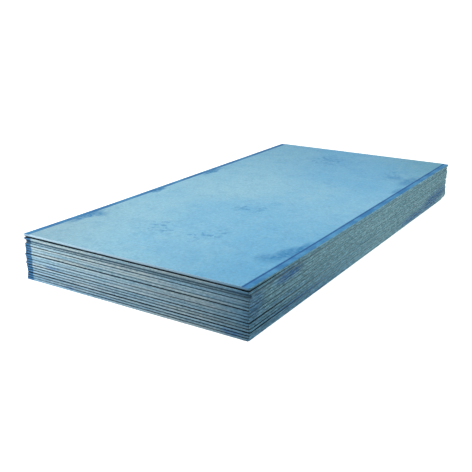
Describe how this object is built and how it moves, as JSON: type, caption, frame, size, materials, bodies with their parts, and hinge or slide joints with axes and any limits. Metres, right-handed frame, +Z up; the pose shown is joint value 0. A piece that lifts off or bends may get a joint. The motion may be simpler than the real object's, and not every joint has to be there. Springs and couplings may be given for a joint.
{
  "type": "stack of fibre cement sheets",
  "caption": "Neat flat stack of full-size fibre cement lining sheets with recessed long edges, face up, the top sheet lifting a little at its front end.",
  "frame": {"origin": "middle of the footprint of the stack, on the floor under the bottom sheet", "axes": "+Z up, +Y along the sheets towards the rear end, +X across the sheets; the lifted front end of the top sheet is at -Y"},
  "size_m": [1.2102, 2.4116, 0.2227],
  "materials": {
    "fibre_cement": "matt, blue-tinted, mottled"
  },
  "bodies": {
    "root": {"sheet_01": "fibre_cement", "sheet_02": "fibre_cement", "sheet_03": "fibre_cement", "sheet_04": "fibre_cement", "sheet_05": "fibre_cement", "sheet_06": "fibre_cement", "sheet_07": "fibre_cement", "sheet_08": "fibre_cement", "sheet_09": "fibre_cement", "sheet_10": "fibre_cement", "sheet_11": "fibre_cement", "sheet_12": "fibre_cement", "sheet_13": "fibre_cement", "sheet_14": "fibre_cement", "sheet_15": "fibre_cement", "sheet_16": "fibre_cement", "sheet_17": "fibre_cement"}
  },
  "joints": []
}
